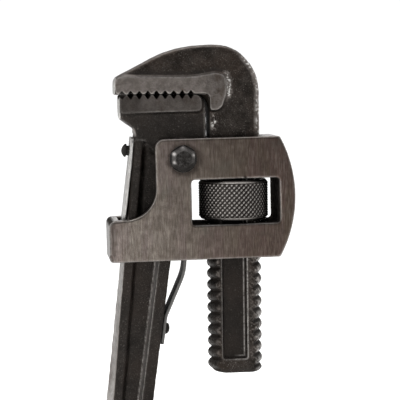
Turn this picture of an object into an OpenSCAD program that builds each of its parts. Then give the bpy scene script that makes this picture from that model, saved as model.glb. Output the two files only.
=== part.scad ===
// Pipe wrench, Stillson pattern, jaws closed.
// +X points from the handle to the back of the hook jaw, +Z runs up the threaded shank, -Y is the front.
// The origin is the centre of the hanging hole. Each module draws in the head's own coordinates, whose
// origin is on the shank's axis, level with the bottom of the frame's window. Lengths are millimetres.

/* [Jaws] */
// Thickness of the toothed pads
pad_t = 19; // [18.8:0.1:20]
// Thickness of the forged webs behind the pads
web_t = 15.4; // [14:0.2:16]
// Height of the line where the teeth meet
bite_z = 62.4; // [62:0.1:62.8]
// Distance from tooth to tooth
tooth_pitch = 4.1; // [4.0:0.02:4.12]
// Slant of the tooth grooves across the jaws, in degrees
tooth_slant = 6.8; // [0:0.2:7]
// Gap between the closed jaws' teeth
bite_gap = 0.3; // [0.2:0.05:0.4]

/* [Threaded shank] */
// Thickness across the shank's flats
shank_t = 18; // [17:0.2:18.2]
// Radius over the thread's crests
crest_r = 13.3; // [13.1:0.05:13.4]
// Radius at the thread's roots
root_r = 11.8; // [11.7:0.05:12]
// Thread pitch
pitch = 5.53; // [5.4:0.01:5.6]
// Number of whole turns that open the jaws fully
turns = 11; // [8:1:11]
// Gap between the shank's thread and the nut's
thread_gap = 0.4; // [0.35:0.05:0.5]

/* [Adjusting nut] */
// Outer diameter
nut_d = 33.8; // [33:0.1:34.4]
// Height
nut_h = 18.9; // [18.4:0.1:19]

/* [Frame] */
// Distance across the frame's two outer faces
frame_t = 29; // [28.4:0.1:30]
// Clear gap between its two plates
frame_gap = 18.6; // [18.6:0.1:19]
// Height of the window
window_h = 21.6; // [21.4:0.1:21.8]
// Lean of the frame against the shank, in degrees
frame_lean = 0.65; // [0:0.05:0.7]

/* [Handle] */
// Thickness across the handle's flanges
bar_t = 17; // [16:0.2:17.4]
// Height of the window's bottom above the hanging hole
drop = 199; // [190:1:210]
// Radius of the hanging hole
hang_r = 5.5; // [5:0.1:6]

/* [Fastenings] */
// Radius of the frame pin
pin_r = 4; // [3.8:0.1:4.2]
// Radial clearance of the pin in the handle
pin_gap = 0.08; // [0.05:0.01:0.1]
// Width of the leaf springs
spring_w = 13; // [12:0.5:14]

/* [Hidden] */
$fn = 48;

forged = "#4a4542";
ground = "#8d837d";
dark_steel = "#35322f";

over = 1;             // how far a cutter passes through what it cuts
arc_step = 12;        // degrees between the points of a rounded corner

// Frame pin, in head coordinates
pin_x = -25.7;
pin_z = 31.8;

// The bar's edges are straight lines, x = edge + slope * z
left_edge = -52.2;
left_slope = 0.0975;
right_edge = -29.2;
right_slope = 0.139;
bar_top = 42;
bar_low = -drop + 12;
crown_right = 0.4;    // how far the right side swells past the flanges' edges
crowns_left = [[bar_low, 4.5], [-18, 1.2], [20, 0], [bar_top, 0]]; // the same for the left side, by height
hang_x = -66.6;
eye_r = 11.4;
eye_t = 14;

function left(z) = left_edge + left_slope * z;
function right(z) = right_edge + right_slope * z;

// Teeth
teeth = 9;            // grooves in each jaw
first_groove = -53.8;
groove_half = 1.55;
heel_groove = 2.1;
hook_groove = 1.7;

// Shank
shank_low = -72.9;
thread_top = 34;
rows_per_turn = 6;
crest_z = -27.6;      // a crest's height on the shank's +X side
strip_x = 7;          // the thread strips start inside the shank's core
core_half = 7.5;

// Nut
nut_low = 2;
nut_chamfer = 1.4;
nut_bore = 15;
thread_wall = 0.3;    // how far the threaded lining reaches into the nut's body
nut_sides = 36;

// Frame, before it leans
window_left = -22;
window_right = 20.3;
frame_low = -16.6;
frame_top = 41.4;
foot_left = -61.7;
foot_top = 3.2;
tie_right = -56.6;
back_x = -32;         // centre and radius of the frame's round back
back_z = 13.1;
back_r = 60;
web_left = -22.4;
web_right = -14.8;
slot_right = 14.2;

// Springs
back_spring_t = 1.6;
back_seat = 1.63;     // from the handle's edge to the back spring's outer face, along X
front_spring_t = 1.4;
back_screw_z = 35.4;
rivet_z = -51;
screw_r = 1.8;

// --- Outlines -------------------------------------------------------------------------------------

function unit(v) = v / norm(v);
function flat(v) = [v[0], v[1]];

// The points that round corner b, between a and c, to radius r
function corner(a, b, c, r) =
    r == 0 ? [b] :
    let (
        u = unit(a - b),
        w = unit(c - b),
        half = acos(u * w) / 2,
        centre = b + unit(u + w) * r / sin(half),
        start = b + u * r / tan(half) - centre,
        finish = b + w * r / tan(half) - centre,
        from = atan2(start.y, start.x),
        sweep = (atan2(finish.y, finish.x) - from + 540) % 360 - 180,
        steps = max(2, ceil(abs(sweep) / arc_step))
    )
    [for (i = [0:steps]) centre + r * [cos(from + sweep * i / steps), sin(from + sweep * i / steps)]];

// A closed outline from corners [x, z, radius]
function rounded(v) =
    let (n = len(v))
    [for (i = [0:n - 1]) each corner(flat(v[(i + n - 1) % n]), flat(v[i]), flat(v[(i + 1) % n]), v[i][2])];

// A strip of thickness t on the left of an open path of corners [x, z, radius]
function path_points(v) =
    [for (i = [0:len(v) - 1])
        each (i == 0 || i == len(v) - 1)
            ? [flat(v[i])]
            : corner(flat(v[i - 1]), flat(v[i]), flat(v[i + 1]), v[i][2])];
function side(p, i) =
    let (d = unit(p[min(i + 1, len(p) - 1)] - p[max(i - 1, 0)]))
    [-d.y, d.x];
function strip(v, t) =
    let (p = path_points(v), n = len(p))
    concat(p, [for (i = [n - 1:-1:0]) p[i] + t * side(p, i)]);

// Stands an outline drawn in X and Z up, with thickness t centred on Y = 0
module plate(points, t) {
    translate([0, t / 2, 0])
        rotate([90, 0, 0])
            linear_extrude(t)
                polygon(points);
}

module head() {
    translate([-hang_x, 0, drop])
        children();
}

module frame_place() {
    translate([pin_x, 0, pin_z])
        rotate([0, -frame_lean, 0])
            translate([-pin_x, 0, -pin_z])
                children();
}

// Round bar along Y
module pin_along_y(x, z, r, from, to) {
    translate([x, to, z])
        rotate([90, 0, 0])
            cylinder(h = to - from, r = r);
}

// --- Handle ---------------------------------------------------------------------------------------

heel_outline = [
    [-55.2, bite_z - bite_gap / 2, 0.6], [-13.6, bite_z - bite_gap / 2, 6.5], [-13.6, 25.5, 2],
    [-24.5, 22.3, 3], [-33, 28, 0], [-43, 40.3, 0], [left(40) + 0.4, 40, 0], [left(42.3), 42.3, 0],
    [-48.7, 46.3, 1.2], [-55.2, 51, 1.6]
];
heel_pad = [
    [-55.2, bite_z - bite_gap / 2, 0.6], [-15.7, bite_z - bite_gap / 2, 4],
    [-15.7, 54.1, 2.4], [-55.2, 53.4, 2]
];
boss_r = 9;
boss_t = 18.2;
pocket_depth = 3.7;
pocket_slope = 1.7;
pocket_top = 40.5;
pocket_low = -168;
left_flange = 4.8;
right_flange = 6.3;

// One cross-section of the bar, as a thin slice for a hull
module bar_slice(z, crown_left) {
    translate([0, 0, z])
        linear_extrude(0.01)
            polygon([
                [left(z), -bar_t / 2], [right(z), -bar_t / 2], [right(z) + crown_right, 0],
                [right(z), bar_t / 2], [left(z), bar_t / 2], [left(z) - crown_left, 0]
            ]);
}

module bar() {
    difference() {
        for (i = [0:len(crowns_left) - 2])
            hull() {
                bar_slice(crowns_left[i][0], crowns_left[i][1]);
                bar_slice(crowns_left[i + 1][0], crowns_left[i + 1][1]);
            }
        // sloping top end of the left flange
        plate([[-60, 47.5], [-10, 23], [-10, 60], [-60, 60]], bar_t + over);
    }
}

// Long recess in each face, with sloping walls
module pocket(face) {
    mirror([0, face > 0 ? 0 : 1, 0])
        hull() {
            for (s = [0, 1])
                translate([0, bar_t / 2 - (1 - s) * pocket_depth + s * 0.01, 0])
                    rotate([90, 0, 0])
                        linear_extrude(0.01)
                            polygon(rounded([
                                [left(pocket_top) + left_flange + pocket_slope * (1 - s), pocket_top, 1],
                                [right(pocket_top) - right_flange - pocket_slope * (1 - s), pocket_top, 1],
                                [right(pocket_low) - right_flange + 1, pocket_low, 2],
                                [left(pocket_low) + left_flange - 1, pocket_low, 2]
                            ]));
        }
}

// V grooves that run back from the front face, slanting towards the jaws' tips
module tooth_grooves(depth, up) {
    for (i = [0:teeth - 1])
        translate([first_groove + i * tooth_pitch, -pad_t / 2, bite_z])
            rotate([0, 0, tooth_slant])
                translate([0, pad_t / 2, 0])
                    mirror([0, 0, up ? 0 : 1])
                        plate([[-groove_half - 0.2, -0.3], [groove_half + 0.2, -0.3], [0, depth + 0.1]],
                              pad_t + 2 * over);
}

module handle() {
    color(forged)
        head()
            difference() {
                union() {
                    difference() {
                        bar();
                        pocket(1);
                        pocket(-1);
                    }
                    plate(rounded(heel_outline), web_t);
                    plate(rounded(heel_pad), pad_t);
                    pin_along_y(pin_x, pin_z, boss_r, -boss_t / 2, boss_t / 2);
                    pin_along_y(hang_x, -drop, eye_r, -eye_t / 2, eye_t / 2);
                    plate([
                        [left(bar_low - 10) - 2, bar_low - 10], [right(bar_low - 10), bar_low - 10],
                        [right(bar_low + 1), bar_low + 1], [left(bar_low + 1) - 2, bar_low + 1]
                    ], eye_t);
                }
                tooth_grooves(heel_groove, false);
                pin_along_y(pin_x, pin_z, pin_r + pin_gap, -frame_t, frame_t);
                pin_along_y(hang_x, -drop, hang_r, -frame_t, frame_t);
                back_screw_hole();
                rivet_hole();
            }
}

// --- Hook jaw -------------------------------------------------------------------------------------

hook_outline = [
    [-57.3, 61.4, 0.8], [-57.5, 70.4, 3.4], [-27.6, 85.8, 56], [-0.2, 85.8, 18.5], [12.3, 72.5, 22],
    [12.3, 33, 0], [-12, 33, 0], [-12.1, bite_z + bite_gap / 2, 6.5],
    [-55.7, bite_z + bite_gap / 2, 0], [-56, 61.4, 0]
];
hook_pad = [
    [-57.2, bite_z + bite_gap / 2, 2.4], [-57.5, 70.4, 2.6], [-53, 71.1, 3], [-20, 70.6, 30], [-9.2, 72.4, 6],
    [-4.4, 71.4, 3.2], [-3.6, 63, 12], [-6.8, 54.4, 4.4], [-12.3, 54.4, 2.2],
    [-12.2, bite_z + bite_gap / 2, 2.4]
];
panel_x = -1;
panel_half = 6.4;
panel_depth = 2.2;
panel_low = -66;

// Thread: radius at height z and angle a, round crests with straight-sided roots between them
function turn_part(z, a) =
    let (u = (z - crest_z) / pitch - a / 360)
    2 * abs(u - round(u));
function thread_r(z, a) = root_r + (crest_r - root_r) * (1 - pow(turn_part(z, a), 2));
function end_r(z, a) = 11.1 + 0.8 * cos(a) + 1.1 * (z - shank_low);

// Outer surface of the strip on one side (s = 1 or -1) at width y and height z
function strip_point(s, y, z) =
    let (
        a = (s > 0 ? 0 : 180) + s * asin(y / (crest_r + root_r) * 2),
        r = min(thread_r(z, a), end_r(z, a))
    )
    [s * max(strip_x + 0.2, sqrt(max(0, r * r - y * y))), y, z];

module thread_strip(s) {
    half = shank_t / 2 - 0.05;
    ys = [-half, -half / 2, 0, half / 2, half];
    rows = round((thread_top - shank_low) / pitch * rows_per_turn);
    zs = [for (i = [0:rows]) shank_low + (thread_top - shank_low) * i / rows];
    n = len(ys);
    m = len(zs);
    outer = [for (z = zs) for (y = ys) strip_point(s, y, z)];
    inner = [for (z = zs) for (y = [-half, half]) [s * strip_x, y, z]];
    base = n * m;
    faces = concat(
        [for (i = [0:m - 2]) for (j = [0:n - 2])
            each [
                [i * n + j, i * n + j + 1, (i + 1) * n + j + 1],
                [i * n + j, (i + 1) * n + j + 1, (i + 1) * n + j]
            ]],
        [for (i = [0:m - 2])
            each [
                [base + 2 * i, i * n, (i + 1) * n],
                [base + 2 * i, (i + 1) * n, base + 2 * i + 2],
                [i * n + n - 1, base + 2 * i + 1, base + 2 * i + 3],
                [i * n + n - 1, base + 2 * i + 3, (i + 1) * n + n - 1],
                [base + 2 * i + 1, base + 2 * i, base + 2 * i + 2],
                [base + 2 * i + 1, base + 2 * i + 2, base + 2 * i + 3]
            ]],
        [concat([for (j = [n - 1:-1:0]) j], [base, base + 1])],
        [concat([for (j = [0:n - 1]) (m - 1) * n + j], [base + 2 * m - 1, base + 2 * m - 2])]
    );
    flipped = [for (f = faces) [for (k = [len(f) - 1:-1:0]) f[k]]];
    polyhedron(concat(outer, inner), s > 0 ? flipped : faces, convexity = 12);
}

module hook_jaw() {
    color(forged)
        head()
            difference() {
                union() {
                    plate(rounded(hook_outline), web_t);
                    plate(rounded(hook_pad), pad_t);
                    plate([[-core_half, shank_low], [core_half, shank_low], [core_half, 40], [-core_half, 40]],
                        shank_t);
                    plate([[-11.7, 32.5], [11.6, 32.5], [11.6, 40], [-11.7, 40]], shank_t);
                    thread_strip(1);
                    thread_strip(-1);
                }
                tooth_grooves(hook_groove, true);
                for (s = [1, -1])
                    translate([panel_x, s * (shank_t - panel_depth + over) / 2, 0])
                        plate(rounded([
                            [-panel_half, panel_low, 1.5], [panel_half, panel_low, 1.5],
                            [panel_half, 30, 3], [-panel_half, 30, 3]
                        ]), panel_depth + over);
            }
}

// --- Adjusting nut --------------------------------------------------------------------------------

// Threaded lining: a tube whose inner wall follows the shank's thread at a distance of thread_gap
module nut_thread() {
    rows = round(nut_h / pitch * rows_per_turn);
    low = nut_low + 0.2;
    high = nut_low + nut_h - 0.2;
    zs = [for (i = [0:rows]) low + (high - low) * i / rows];
    m = len(zs);
    k = nut_sides;
    outer_r = nut_bore + thread_wall;
    inner = [for (z = zs) for (j = [0:k - 1])
        let (a = j * 360 / k, r = thread_r(z, a) + thread_gap)
        [r * cos(a), r * sin(a), z]];
    outer = [for (z = [low, high]) for (j = [0:k - 1])
        let (a = j * 360 / k)
        [outer_r * cos(a), outer_r * sin(a), z]];
    base = k * m;
    faces = [
        for (j = [0:k - 1])
            let (q = (j + 1) % k, last = (m - 1) * k)
            each concat(
                [for (i = [0:m - 2])
                    each [
                        [i * k + j, (i + 1) * k + q, i * k + q],
                        [i * k + j, (i + 1) * k + j, (i + 1) * k + q]
                    ]],
                [
                    [j, q, base + q], [j, base + q, base + j],
                    [last + q, last + j, base + k + j], [last + q, base + k + j, base + k + q],
                    [base + j, base + q, base + k + q], [base + j, base + k + q, base + k + j]
                ]
            )
    ];
    polyhedron(concat(inner, outer), [for (f = faces) [f[2], f[1], f[0]]], convexity = 8);
}

module adjusting_nut() {
    r = nut_d / 2;
    color(dark_steel)
        head() {
            translate([0, 0, nut_low])
                rotate_extrude($fn = 72)
                    polygon([
                        [nut_bore, 0], [r - nut_chamfer, 0], [r, nut_chamfer],
                        [r, nut_h - nut_chamfer], [r - nut_chamfer, nut_h], [nut_bore, nut_h]
                    ]);
            nut_thread();
        }
}

// --- Frame ----------------------------------------------------------------------------------------

back_from = asin((frame_low - back_z) / back_r);
back_to = asin((frame_top - back_z) / back_r);
back_steps = 14;
frame_outline = concat(
    [[foot_left, frame_low, 1.6]],
    [for (i = [0:back_steps])
        let (a = back_from + (back_to - back_from) * i / back_steps)
        [back_x + back_r * cos(a), back_z + back_r * sin(a), i == 0 ? 0.8 : i == back_steps ? 1.6 : 0]],
    [[-38.8, frame_top, 4.4], [-38.8, foot_top + 0.8, 14.6], [foot_left, foot_top, 1.6]]
);
window_outline = [
    [window_left, 0, 1.2], [window_right, 0, 1.6], [window_right, window_h, 1.6], [window_left, window_h, 1.6]
];

module frame() {
    gap = frame_gap;
    color(ground)
        head()
            frame_place()
                difference() {
                    plate(rounded(frame_outline), frame_t);
                    plate(rounded(window_outline), frame_t + 2 * over);
                    // room for the handle and both springs
                    plate([
                        [tie_right, frame_low - over], [web_left, frame_low - over], [web_left, 0.5],
                        [-10, 0.5], [-10, 50], [-70, 50], [-70, foot_top + 0.6], [tie_right, foot_top + 0.6]
                    ], gap);
                    // room for the shank
                    plate([
                        [web_right, frame_low - over], [slot_right, frame_low - over],
                        [slot_right, 50], [web_right, 50]
                    ], gap);
                    pin_along_y(pin_x, pin_z, pin_r, -frame_t, frame_t);
                }
}

// --- Frame pin and its nut ------------------------------------------------------------------------

head_flats = 11.2;
head_h = 4.2;
nut_flats = 11.4;
pin_nut_h = 4.4;
tail = 5.2;           // how far the bolt's end passes the back plate

// Hexagonal prism along Y with chamfered corners on its outer end
module hex_along_y(flats, from, to, outward) {
    corners_r = flats / 2 / cos(30);
    depth = to - from;
    intersection() {
        translate([pin_x, to, pin_z])
            rotate([90, 0, 0])
                rotate([0, 0, 30])
                    cylinder(h = depth, r = corners_r, $fn = 6);
        translate([pin_x, outward > 0 ? from : to, pin_z])
            rotate([outward > 0 ? -90 : 90, 0, 0])
                rotate_extrude()
                    polygon([
                        [0, 0], [corners_r + 0.2, 0], [corners_r + 0.2, depth - 1.1],
                        [corners_r - 1.3, depth], [0, depth]
                    ]);
    }
}

module frame_pin() {
    color(dark_steel)
        head() {
            pin_along_y(pin_x, pin_z, pin_r, -frame_t / 2 - 0.5, frame_t / 2 + tail);
            hex_along_y(head_flats, -frame_t / 2 - head_h, -frame_t / 2, -1);
        }
}

module frame_pin_nut() {
    color(dark_steel)
        head()
            difference() {
                hex_along_y(nut_flats, frame_t / 2, frame_t / 2 + pin_nut_h, 1);
                pin_along_y(pin_x, pin_z, pin_r, 0, frame_t);
            }
}

// --- Leaf springs and their fastenings ------------------------------------------------------------

back_tilt = atan(left_slope);
front_tilt = atan(right_slope);
front_seat = crown_right;

// Turns round bars along local X so that they stand square on the handle's edges
module on_left_edge(z) {
    translate([left(z), 0, z])
        rotate([0, -90 + back_tilt, 0])
            children();
}

module on_right_edge(z) {
    translate([right(z) + front_seat, 0, z])
        rotate([0, 90 + front_tilt, 0])
            children();
}

module back_screw_hole() {
    on_left_edge(back_screw_z)
        translate([0, 0, -9])
            cylinder(h = 12, r = screw_r);
}

module rivet_hole() {
    on_right_edge(rivet_z)
        translate([0, 0, -5])
            cylinder(h = 8, r = screw_r);
}

module back_spring() {
    color(dark_steel)
        head()
            difference() {
                plate(strip([
                    [-55.9, -10, 0], [-54.3, 4, 60], [left(30) - back_seat, 30, 40],
                    [left(42.2) - back_seat, 42.2, 0]
                ], -back_spring_t), spring_w);
                on_left_edge(back_screw_z)
                    cylinder(h = 4, r = screw_r);
            }
}

module back_spring_screw() {
    neck = back_spring_t + 1.4;
    color(dark_steel)
        head()
            on_left_edge(back_screw_z)
                difference() {
                    union() {
                        translate([0, 0, -8.5])
                            cylinder(h = 8.5 + neck, r = screw_r);
                        translate([0, 0, back_spring_t])
                            cylinder(h = neck - back_spring_t, r = 2.4);
                        translate([0, 0, neck])
                            rotate_extrude()
                                polygon([[0, 0], [3.1, 0], [3.3, 0.5], [3.3, 1.5], [2.7, 2.2], [0, 2.4]]);
                    }
                    translate([-0.5, -4, neck + 1.4])
                        cube([1, 8, 2]);
                }
}

module front_spring() {
    color(dark_steel)
        head()
            difference() {
                plate(strip([
                    [right(-58.3) + front_seat, -58.3, 0], [right(-44.2) + front_seat, -44.2, 8],
                    [-25.7, -23.2, 22], [-24.6, -8, 0]
                ], -front_spring_t), spring_w);
                on_right_edge(rivet_z)
                    cylinder(h = 4, r = screw_r);
            }
}

module front_spring_rivet() {
    color(dark_steel)
        head()
            on_right_edge(rivet_z) {
                translate([0, 0, -4.5])
                    cylinder(h = 4.5 + front_spring_t + 0.5, r = screw_r);
                translate([0, 0, front_spring_t])
                    rotate_extrude()
                        polygon([[0, 0], [2.8, 0], [2.8, 1.3], [2.3, 2], [1.2, 2.4], [0, 2.5]]);
            }
}

handle();
hook_jaw();
adjusting_nut();
frame();
frame_pin();
frame_pin_nut();
back_spring();
back_spring_screw();
front_spring();
front_spring_rivet();
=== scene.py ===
import math
from itertools import product

import bpy
import numpy as np
from mathutils import Matrix, Vector


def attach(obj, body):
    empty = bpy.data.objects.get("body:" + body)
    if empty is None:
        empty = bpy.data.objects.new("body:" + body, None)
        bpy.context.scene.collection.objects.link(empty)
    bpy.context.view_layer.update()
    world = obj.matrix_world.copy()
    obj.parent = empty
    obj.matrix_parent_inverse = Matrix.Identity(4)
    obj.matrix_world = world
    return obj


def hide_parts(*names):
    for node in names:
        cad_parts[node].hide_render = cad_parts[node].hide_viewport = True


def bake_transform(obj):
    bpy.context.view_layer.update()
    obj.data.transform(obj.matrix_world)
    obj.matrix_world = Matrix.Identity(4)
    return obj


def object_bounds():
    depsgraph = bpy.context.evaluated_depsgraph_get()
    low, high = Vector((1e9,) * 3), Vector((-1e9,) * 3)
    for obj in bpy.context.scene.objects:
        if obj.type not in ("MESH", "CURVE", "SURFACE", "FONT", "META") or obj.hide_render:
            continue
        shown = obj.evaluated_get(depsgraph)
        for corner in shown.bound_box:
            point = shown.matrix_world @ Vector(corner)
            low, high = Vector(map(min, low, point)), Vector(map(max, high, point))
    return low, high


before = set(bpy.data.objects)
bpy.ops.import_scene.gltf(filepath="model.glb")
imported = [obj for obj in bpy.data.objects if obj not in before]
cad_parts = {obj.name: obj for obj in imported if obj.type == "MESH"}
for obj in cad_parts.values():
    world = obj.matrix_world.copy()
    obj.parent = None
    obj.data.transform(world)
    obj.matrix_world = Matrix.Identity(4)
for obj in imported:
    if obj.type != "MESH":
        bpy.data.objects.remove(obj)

cad_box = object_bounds()

# Shapes are worked out in millimetres in the head's own coordinates: x and y are 0 on the shank's axis and
# z is 0 at the bottom of the frame's window. ORIGIN carries them to the shared frame.
ORIGIN = np.array((66.6, 0.0, 199.0))
EYE = (-66.6, -199.0)  # centre of the hanging eye, x and z
PIN = (-25.7, 31.8)  # axis of the frame pin, x and z
BITE = 62.4  # height at which the jaws' teeth meet

# Half depths, front to back
WEB_HALF = 7.7
JAW_HALF = 9.5
BAR_HALF = 8.5
SHANK_HALF = 9
FRAME_HALF = 14.5
FRAME_ROOM = 9.3

PAD_RISE = 1.8  # how far a jaw's pad stands out from its web
TOOTH_COUNT, TOOTH_PITCH, FIRST_TOOTH = 9, 4.1, -53.8
TOOTH_SLANT = math.tan(math.radians(6.8))
THREAD_PITCH, THREAD_CREST, THREAD_ROOT, THREAD_HEIGHT = 5.53, -27.6, 11.8, 1.5
THREAD_GAP = 0.4


# ---------------------------------------------------------------- distances and outlines

def smax(a, b, k):
    """The larger of a and b, rounded over a width of k."""
    h = np.clip(0.5 + 0.5 * (a - b) / k, 0, 1)
    return b + (a - b) * h + k * h * (1 - h)


def smin(a, b, k):
    """The smaller of a and b, rounded over a width of k."""
    return -smax(-a, -b, k)


def step(a, b, v):
    """Rises smoothly from 0 where v is a to 1 where v is b; a may be the larger."""
    t = np.clip((v - a) / (b - a), 0, 1)
    return t * t * (3 - 2 * t)


def band(v, centre, width):
    """1 where v is at the centre, falling away on both sides."""
    return np.exp(-((v - centre) / width) ** 2)


def rounded(corners, closed=True):
    """Points of an outline whose corners are (x, z, radius)."""
    n = len(corners)
    out = []
    for i, (x, z, r) in enumerate(corners):
        b = np.array((x, z), float)
        if r == 0 or (not closed and i in (0, n - 1)):
            out.append(b)
            continue
        u = np.array(corners[i - 1][:2]) - b
        w = np.array(corners[(i + 1) % n][:2]) - b
        u, w = u / np.linalg.norm(u), w / np.linalg.norm(w)
        half = math.acos(float(np.clip(u @ w, -1, 1))) / 2
        centre = b + (u + w) / np.linalg.norm(u + w) * r / math.sin(half)
        start, finish = b + u * r / math.tan(half) - centre, b + w * r / math.tan(half) - centre
        a0 = math.atan2(start[1], start[0])
        sweep = (math.atan2(finish[1], finish[0]) - a0 + 3 * math.pi) % (2 * math.pi) - math.pi
        steps = max(3, math.ceil(abs(sweep) / 0.14))
        for t in np.linspace(0, 1, steps + 1):
            out.append(centre + r * np.array((math.cos(a0 + sweep * t), math.sin(a0 + sweep * t))))
    return np.array(out)


def inside(x, z, points):
    """Signed distance to an outline, negative inside it."""
    best = np.full(np.broadcast(x, z).shape, 1e9, np.float32)
    odd = np.zeros(best.shape, bool)
    for a, b in zip(points, np.roll(points, -1, 0)):
        ex, ez = b - a
        wx, wz = x - a[0], z - a[1]
        t = np.clip((wx * ex + wz * ez) / (ex * ex + ez * ez), 0, 1)
        best = np.minimum(best, (wx - t * ex) ** 2 + (wz - t * ez) ** 2)
        if ez:
            odd ^= ((a[1] <= z) != (b[1] <= z)) & (x < a[0] + wz / ez * ex)
    return np.where(odd, -1, 1) * np.sqrt(best)


TABLE = np.random.RandomState(11).rand(32, 32, 32).astype(np.float32)


def noise(p, size, shift=0.0):
    """Smooth value noise between -1 and 1 at points p, with cells of the given size."""
    q = p / np.asarray(size) + shift
    i = np.floor(q).astype(int)
    f = q - i
    f = f * f * (3 - 2 * f)
    out = 0
    for c in product((0, 1), repeat=3):
        w = np.prod([f[:, k] if c[k] else 1 - f[:, k] for k in range(3)], axis=0)
        out = out + w * TABLE[(i[:, 0] + c[0]) % 32, (i[:, 1] + c[1]) % 32, (i[:, 2] + c[2]) % 32]
    return 2 * out - 1


def layered(p, *layers):
    """A sum of noises, each given as (height, size, shift)."""
    return sum(height * noise(p, size, shift) for height, size, shift in layers)


# ---------------------------------------------------------------- surfaces from distances

class Grid:
    """A box of evenly spaced points on which a shape's distances are worked out."""

    def __init__(self, low, high, spacing):
        self.low, self.h = np.array(low, float), spacing
        n = [int(math.ceil((b - a) / spacing)) + 1 for a, b in zip(low, high)]
        axes = [low[k] + spacing * np.arange(n[k]) for k in range(3)]
        self.x = axes[0].astype(np.float32)[:, None, None]
        self.y = axes[1].astype(np.float32)[None, :, None]
        self.z = axes[2].astype(np.float32)[None, None, :]

    def sample(self, f, p):
        """The field f at points p, blended between the grid's points."""
        q = (p - self.low) / self.h
        top = np.array(f.shape) - 2
        i = np.clip(np.floor(q).astype(int), 0, top)
        t = np.clip(q - i, 0, 1)
        out = 0
        for c in product((0, 1), repeat=3):
            w = np.prod([t[:, k] if c[k] else 1 - t[:, k] for k in range(3)], axis=0)
            out = out + w * f[i[:, 0] + c[0], i[:, 1] + c[1], i[:, 2] + c[2]]
        return out

    def normals(self, f, p):
        """Outward directions of the surface at points p."""
        e = self.h * 0.7
        g = np.stack([self.sample(f, p + d) - self.sample(f, p - d) for d in np.eye(3) * e], 1)
        return g / np.maximum(np.linalg.norm(g, axis=1, keepdims=True), 1e-6)

    def surface(self, f):
        """Vertices and quads of the surface where f is 0 (f is negative inside)."""
        neg = f < 0
        total = sum(neg[i:f.shape[0] - 1 + i, j:f.shape[1] - 1 + j, k:f.shape[2] - 1 + k].astype(np.int8)
                    for i, j, k in product((0, 1), repeat=3))
        cells = np.argwhere((total > 0) & (total < 8))
        index = np.full(total.shape, -1, np.int32)
        index[tuple(cells.T)] = np.arange(len(cells))
        corners = np.array(list(product((0, 1), repeat=3)))
        v = np.array([f[tuple((cells + c).T)] for c in corners])
        acc, count = np.zeros((len(cells), 3)), np.zeros(len(cells))
        for a in range(8):
            for bit in (1, 2, 4):
                b = a | bit
                if b == a:
                    continue
                cross = (v[a] < 0) != (v[b] < 0)
                t = v[a][cross] / (v[a][cross] - v[b][cross])
                acc[cross] += corners[a] + t[:, None] * (corners[b] - corners[a])
                count[cross] += 1
        verts = self.low + self.h * (cells + acc / count[:, None])
        quads = []
        for a in range(3):
            b, c = (a + 1) % 3, (a + 2) % 3
            lo, hi = [slice(1, -1)] * 3, [slice(1, -1)] * 3
            lo[a], hi[a] = slice(0, -1), slice(1, None)
            first, second = neg[tuple(lo)], neg[tuple(hi)]
            e = np.argwhere(first != second)
            out = first[tuple(e.T)]
            e += 1
            e[:, a] -= 1
            ring = []
            for db, dc in ((1, 1), (0, 1), (0, 0), (1, 0)):
                cell = e.copy()
                cell[:, b] -= db
                cell[:, c] -= dc
                ring.append(index[tuple(cell.T)])
            ring = np.stack(ring, 1)
            ring[~out] = ring[~out][:, ::-1]
            quads.append(ring)
        return verts, np.concatenate(quads)

    def filled(self, f, reach):
        """How much of the space round a point is solid: below a half on edges, above it in hollows."""
        occ = np.clip(0.5 - f / self.h, 0, 1).astype(np.float32)
        m = max(1, round(reach / self.h / 1.6))
        for axis in (0, 1, 2, 0, 1, 2):
            pad = [(m + 1, m) if k == axis else (0, 0) for k in range(3)]
            c = np.cumsum(np.pad(occ, pad), axis=axis, dtype=np.float64)
            n = occ.shape[axis]
            up = [slice(2 * m + 1, 2 * m + 1 + n) if k == axis else slice(None) for k in range(3)]
            down = [slice(0, n) if k == axis else slice(None) for k in range(3)]
            occ = ((c[tuple(up)] - c[tuple(down)]) / (2 * m + 1)).astype(np.float32)
        return occ


def add_mesh(name, verts, quads, wear_and_light):
    """A mesh object from millimetres in head coordinates. Its three wear and light masks, 0 to 1, are read by
    the
    materials: ground or worn bright, with painted highlights; worn edge, with painted highlight lines; dirt,
    with painted shade."""
    mesh = bpy.data.meshes.new(name)
    mesh.vertices.add(len(verts))
    mesh.vertices.foreach_set("co", ((verts + ORIGIN) / 1000).astype(np.float32).ravel())
    size = quads.shape[1]
    mesh.loops.add(quads.size)
    mesh.loops.foreach_set("vertex_index", quads.astype(np.int32).ravel())
    mesh.polygons.add(len(quads))
    mesh.polygons.foreach_set("loop_start", np.arange(0, quads.size, size, dtype=np.int32))
    mesh.update(calc_edges=True)
    mesh.validate()
    mesh.polygons.foreach_set("use_smooth", np.ones(len(mesh.polygons), bool))
    colour = np.ones((len(verts), 4), np.float32)
    colour[:, :3] = np.clip(np.stack(wear_and_light, 1), 0, 1)
    attribute = mesh.color_attributes.new("wear_and_light", "FLOAT_COLOR", "POINT")
    attribute.data.foreach_set("color", colour.ravel())
    obj = bpy.data.objects.new(name, mesh)
    bpy.context.scene.collection.objects.link(obj)
    return obj


def edges_and_hollows(grid, f, p, fine, broad):
    """Masks of the convex edges and of the hollows at points p, from how solid their surroundings are."""
    a, b = grid.sample(grid.filled(f, fine), p), grid.sample(grid.filled(f, broad), p)
    edge = np.clip((0.42 - a) * 5.5, 0, 1)
    hollow = np.clip((b - 0.55) * 4, 0, 1)
    return edge, hollow


# ---------------------------------------------------------------- shapes that pieces share

LEFT_TILT, RIGHT_TILT = 0.0975, 0.139


def left(z):
    """The bar's left edge at height z."""
    return -52.2 + LEFT_TILT * z


def right(z):
    """The bar's right edge at height z."""
    return -29.2 + RIGHT_TILT * z


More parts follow.
